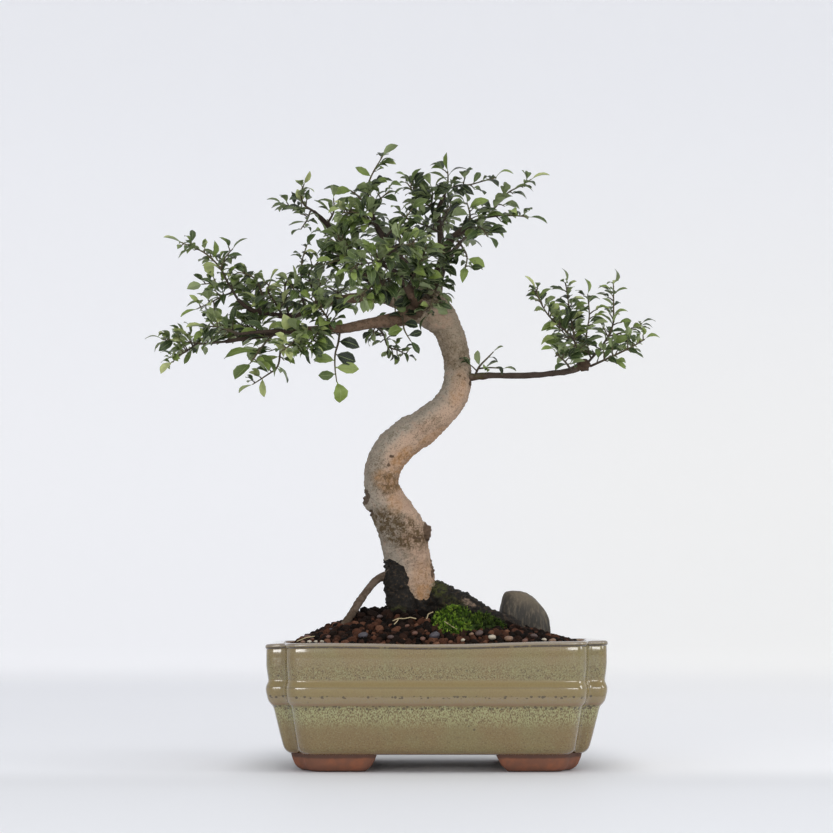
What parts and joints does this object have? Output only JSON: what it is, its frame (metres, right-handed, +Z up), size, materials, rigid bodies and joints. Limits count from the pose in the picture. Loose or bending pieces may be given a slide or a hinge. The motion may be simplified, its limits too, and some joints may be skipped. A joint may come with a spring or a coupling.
{
  "type": "chinese elm bonsai",
  "caption": "Chinese elm bonsai: a bent trunk and leafy branches growing from mounded clay soil with moss and a stone, in a glazed rectangular pot with stepped corners and clay feet.",
  "frame": {"origin": "middle of the box round tree and pot, at the level of the surface under the pot's feet", "axes": "+Z up; the pictured front is seen looking along +Y, with +X to its right"},
  "size_m": [0.3308, 0.1664, 0.4012],
  "materials": {
    "glaze": "gloss",
    "soil": "matte",
    "bark": "matte",
    "stone": "matte",
    "moss": "matte",
    "screen": "matte",
    "wire": "satin",
    "leaf": "satin"
  },
  "bodies": {
    "root": {"pot": "glaze", "drain_screen_left": "screen", "drain_screen_right": "screen", "screen_clip_left": "wire", "screen_clip_right": "wire", "soil": "soil", "stone": "stone", "moss": "moss", "trunk_and_limbs": "bark", "spray_low_left_tip": "leaf", "spray_low_left_round": "leaf", "spray_low_left_up": "leaf", "spray_low_left_long": "leaf", "spray_low_left_hang": "leaf", "spray_low_left_back": "leaf", "spray_low_left_front": "leaf", "spray_low_hanging": "leaf", "spray_low_side": "leaf", "spray_low_top": "leaf", "spray_mid_hang_back": "leaf", "spray_mid_hang_light": "leaf", "spray_left_tip": "leaf", "spray_left_arch": "leaf", "spray_left_back": "leaf", "spray_left_mass": "leaf", "spray_left_curl": "leaf", "spray_left_mid": "leaf", "spray_left_far_back": "leaf", "spray_inner_far_back": "leaf", "spray_left_upright": "leaf", "spray_left_slender": "leaf", "spray_crown_left_tip": "leaf", "spray_crown_left_up": "leaf", "spray_crown_left_front": "leaf", "spray_crown_left_back": "leaf", "spray_crown_inner": "leaf", "spray_top_tip": "leaf", "spray_top_left": "leaf", "spray_top_mid_left": "leaf", "spray_top_mid_right": "leaf", "spray_top_back": "leaf", "spray_front_tip": "leaf", "spray_front_right": "leaf", "spray_front_low": "leaf", "spray_back_tip": "leaf", "spray_crown_right_tip": "leaf", "spray_crown_right_left": "leaf", "spray_crown_right_low": "leaf", "spray_crown_right_back": "leaf", "spray_right_tip": "leaf", "spray_right_leafy": "leaf", "spray_right_hang": "leaf", "spray_right_low": "leaf", "spray_right_back": "leaf", "spray_right_drop": "leaf", "spray_branch_near": "leaf", "spray_branch_fan_left": "leaf", "spray_branch_fan_right": "leaf", "spray_branch_fan_out": "leaf", "spray_branch_low": "leaf"}
  },
  "joints": []
}
